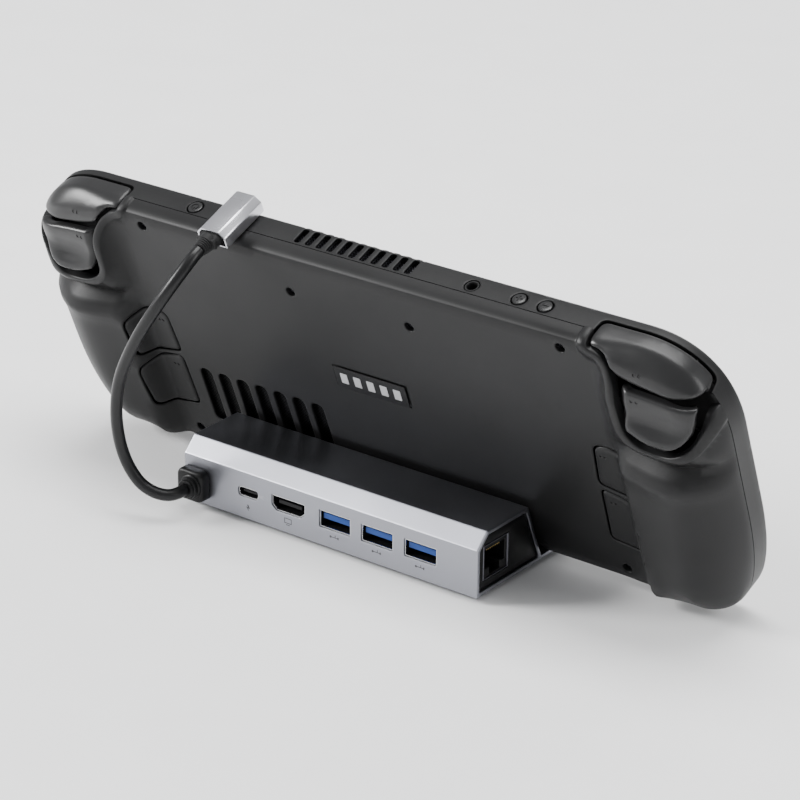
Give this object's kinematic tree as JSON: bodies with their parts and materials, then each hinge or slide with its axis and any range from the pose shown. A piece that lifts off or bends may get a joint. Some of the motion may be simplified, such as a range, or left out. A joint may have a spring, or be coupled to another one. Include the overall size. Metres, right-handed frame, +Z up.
{
  "type": "handheld game console with dock",
  "caption": "Handheld game console with a built-in screen, thumbsticks, triggers and back paddles, standing in a small metal dock and joined to it by a short looped cable.",
  "frame": {"origin": "centre of the bounding box on the resting surface, measured without the cable and what is on it", "axes": "+X to the player's right along the console's width, -Y the way the screen faces, +Z up"},
  "size_m": [0.298, 0.0949, 0.1223],
  "materials": {
    "shell_plastic": "fine matt texture, dark grey",
    "control_plastic": "satin, dark grey",
    "nameplate": "matt, light grey bars",
    "black_plastic": "satin black",
    "rubber": "matt black",
    "screen_glass": "polished, opaque when off",
    "aluminium": "bead blasted, anodised silver",
    "steel": "bright stamped steel",
    "circuit_board": "green solder mask",
    "battery_wrap": "dark film",
    "copper": "bare copper"
  },
  "bodies": {
    "dock": {"dock_shell": "aluminium", "dock_left_cap": "black_plastic", "dock_right_cap": "black_plastic", "foot_pad": "rubber", "dock_board": "circuit_board", "backrest_pad": "rubber", "cradle_pad": "rubber", "power_port": "steel", "video_port": "steel", "data_port_1": "steel", "data_port_2": "steel", "data_port_3": "steel", "network_port": "black_plastic", "cable_gland": "black_plastic", "dock_cable": "rubber"},
    "console": {"front_shell": "shell_plastic", "rear_cover": "shell_plastic", "left_trackpad": "control_plastic", "right_trackpad": "control_plastic", "nameplate": "nameplate", "display_panel": "black_plastic", "fan_housing": "black_plastic", "headphone_jack": "black_plastic", "left_stick_module": "black_plastic", "right_stick_module": "black_plastic", "plug_boot": "black_plastic", "display_glass": "screen_glass", "plug_housing": "aluminium", "midframe": "steel", "charging_socket": "steel", "plug_tip": "steel", "main_board": "circuit_board", "battery": "battery_wrap", "heat_sink": "copper"},
    "left_bumper": {"left_bumper": "control_plastic"},
    "right_bumper": {"right_bumper": "control_plastic"},
    "left_trigger": {"left_trigger": "control_plastic"},
    "right_trigger": {"right_trigger": "control_plastic"},
    "left_upper_paddle": {"left_upper_paddle": "shell_plastic"},
    "right_upper_paddle": {"right_upper_paddle": "shell_plastic"},
    "left_lower_paddle": {"left_lower_paddle": "shell_plastic"},
    "right_lower_paddle": {"right_lower_paddle": "shell_plastic"},
    "left_stick_yoke": {"left_stick_yoke": "steel"},
    "right_stick_yoke": {"right_stick_yoke": "steel"},
    "left_thumbstick": {"left_thumbstick": "rubber"},
    "right_thumbstick": {"right_thumbstick": "rubber"},
    "dpad": {"dpad": "black_plastic"},
    "dpad_pivot": {"dpad_pivot": "rubber"},
    "upper_face_button": {"upper_face_button": "control_plastic"},
    "lower_face_button": {"lower_face_button": "control_plastic"},
    "inner_face_button": {"inner_face_button": "control_plastic"},
    "outer_face_button": {"outer_face_button": "control_plastic"},
    "view_button": {"view_button": "black_plastic"},
    "menu_button": {"menu_button": "black_plastic"},
    "system_button": {"system_button": "black_plastic"},
    "quick_button": {"quick_button": "black_plastic"},
    "power_button": {"power_button": "control_plastic"},
    "volume_up_button": {"volume_up_button": "control_plastic"},
    "volume_down_button": {"volume_down_button": "control_plastic"},
    "fan_rotor": {"fan_rotor": "black_plastic"}
  },
  "joints": [
    {"name": "console_lift", "type": "slide", "parent": "dock", "child": "console", "axis": [0, 0.3746, 0.9272], "range_m": [0, 0.016]},
    {"name": "right_bumper_press", "type": "hinge", "parent": "console", "child": "right_bumper", "pos_m": [0.103, 0.02339, 0.10877], "axis": [0, 0.9272, -0.3746], "range_deg": [0, 1.1], "stiffness_Nm_per_rad": 1.2},
    {"name": "right_trigger_pull", "type": "hinge", "parent": "console", "child": "right_trigger", "pos_m": [0.126, 0.02381, 0.10127], "axis": [-1, 0, 0], "range_deg": [0, 12], "stiffness_Nm_per_rad": 0.06},
    {"name": "right_upper_paddle_press", "type": "hinge", "parent": "console", "child": "right_upper_paddle", "pos_m": [0.105, 0.00701, 0.04421], "axis": [1, 0, 0], "range_deg": [0, 2.8], "stiffness_Nm_per_rad": 0.35},
    {"name": "right_lower_paddle_press", "type": "hinge", "parent": "console", "child": "right_lower_paddle", "pos_m": [0.105, -0.00235, 0.02103], "axis": [1, 0, 0], "range_deg": [0, 2.8], "stiffness_Nm_per_rad": 0.35},
    {"name": "right_stick_tilt_forward", "type": "hinge", "parent": "console", "child": "right_stick_yoke", "pos_m": [0.099, 0.01571, 0.09031], "axis": [1, 0, 0], "range_deg": [-20, 20], "stiffness_Nm_per_rad": 0.02},
    {"name": "right_stick_tilt_sideways", "type": "hinge", "parent": "right_stick_yoke", "child": "right_thumbstick", "pos_m": [0.099, 0.01571, 0.09031], "axis": [0, 0.3746, 0.9272], "range_deg": [-20, 20], "stiffness_Nm_per_rad": 0.02},
    {"name": "left_bumper_press", "type": "hinge", "parent": "console", "child": "left_bumper", "pos_m": [-0.103, 0.02339, 0.10877], "axis": [0, -0.9272, 0.3746], "range_deg": [0, 1.1], "stiffness_Nm_per_rad": 1.2},
    {"name": "left_trigger_pull", "type": "hinge", "parent": "console", "child": "left_trigger", "pos_m": [-0.126, 0.02381, 0.10127], "axis": [-1, 0, 0], "range_deg": [0, 12], "stiffness_Nm_per_rad": 0.06},
    {"name": "left_upper_paddle_press", "type": "hinge", "parent": "console", "child": "left_upper_paddle", "pos_m": [-0.105, 0.00701, 0.04421], "axis": [1, 0, 0], "range_deg": [0, 2.8], "stiffness_Nm_per_rad": 0.35},
    {"name": "left_lower_paddle_press", "type": "hinge", "parent": "console", "child": "left_lower_paddle", "pos_m": [-0.105, -0.00235, 0.02103], "axis": [1, 0, 0], "range_deg": [0, 2.8], "stiffness_Nm_per_rad": 0.35},
    {"name": "left_stick_tilt_forward", "type": "hinge", "parent": "console", "child": "left_stick_yoke", "pos_m": [-0.099, 0.01571, 0.09031], "axis": [1, 0, 0], "range_deg": [-20, 20], "stiffness_Nm_per_rad": 0.02},
    {"name": "left_stick_tilt_sideways", "type": "hinge", "parent": "left_stick_yoke", "child": "left_thumbstick", "pos_m": [-0.099, 0.01571, 0.09031], "axis": [0, 0.3746, 0.9272], "range_deg": [-20, 20], "stiffness_Nm_per_rad": 0.02},
    {"name": "dpad_rock_up_down", "type": "hinge", "parent": "console", "child": "dpad_pivot", "pos_m": [-0.1295, 0.01294, 0.09358], "axis": [1, 0, 0], "range_deg": [-4, 4], "stiffness_Nm_per_rad": 0.07},
    {"name": "dpad_rock_sideways", "type": "hinge", "parent": "dpad_pivot", "child": "dpad", "pos_m": [-0.1295, 0.01294, 0.09358], "axis": [0, 0.3746, 0.9272], "range_deg": [-4, 4], "stiffness_Nm_per_rad": 0.07},
    {"name": "upper_face_button_press", "type": "slide", "parent": "console", "child": "upper_face_button", "axis": [0, 0.9272, -0.3746], "range_m": [0, 0.0013], "stiffness_N_per_m": 300},
    {"name": "lower_face_button_press", "type": "slide", "parent": "console", "child": "lower_face_button", "axis": [0, 0.9272, -0.3746], "range_m": [0, 0.0013], "stiffness_N_per_m": 300},
    {"name": "inner_face_button_press", "type": "slide", "parent": "console", "child": "inner_face_button", "axis": [0, 0.9272, -0.3746], "range_m": [0, 0.0013], "stiffness_N_per_m": 300},
    {"name": "outer_face_button_press", "type": "slide", "parent": "console", "child": "outer_face_button", "axis": [0, 0.9272, -0.3746], "range_m": [0, 0.0013], "stiffness_N_per_m": 300},
    {"name": "view_button_press", "type": "slide", "parent": "console", "child": "view_button", "axis": [0, 0.9272, -0.3746], "range_m": [0, 0.0006], "stiffness_N_per_m": 600},
    {"name": "menu_button_press", "type": "slide", "parent": "console", "child": "menu_button", "axis": [0, 0.9272, -0.3746], "range_m": [0, 0.0006], "stiffness_N_per_m": 600},
    {"name": "system_button_press", "type": "slide", "parent": "console", "child": "system_button", "axis": [0, 0.9272, -0.3746], "range_m": [0, 0.0006], "stiffness_N_per_m": 600},
    {"name": "quick_button_press", "type": "slide", "parent": "console", "child": "quick_button", "axis": [0, 0.9272, -0.3746], "range_m": [0, 0.0006], "stiffness_N_per_m": 600},
    {"name": "power_button_press", "type": "slide", "parent": "console", "child": "power_button", "axis": [0, -0.3746, -0.9272], "range_m": [0, 0.0004], "stiffness_N_per_m": 800},
    {"name": "volume_up_button_press", "type": "slide", "parent": "console", "child": "volume_up_button", "axis": [0, -0.3746, -0.9272], "range_m": [0, 0.0004], "stiffness_N_per_m": 800},
    {"name": "volume_down_button_press", "type": "slide", "parent": "console", "child": "volume_down_button", "axis": [0, -0.3746, -0.9272], "range_m": [0, 0.0004], "stiffness_N_per_m": 800},
    {"name": "fan_spin", "type": "hinge", "parent": "console", "child": "fan_rotor", "pos_m": [0.053, -0.00527, 0.03515], "axis": [0, 0.9272, -0.3746], "continuous": true}
  ]
}
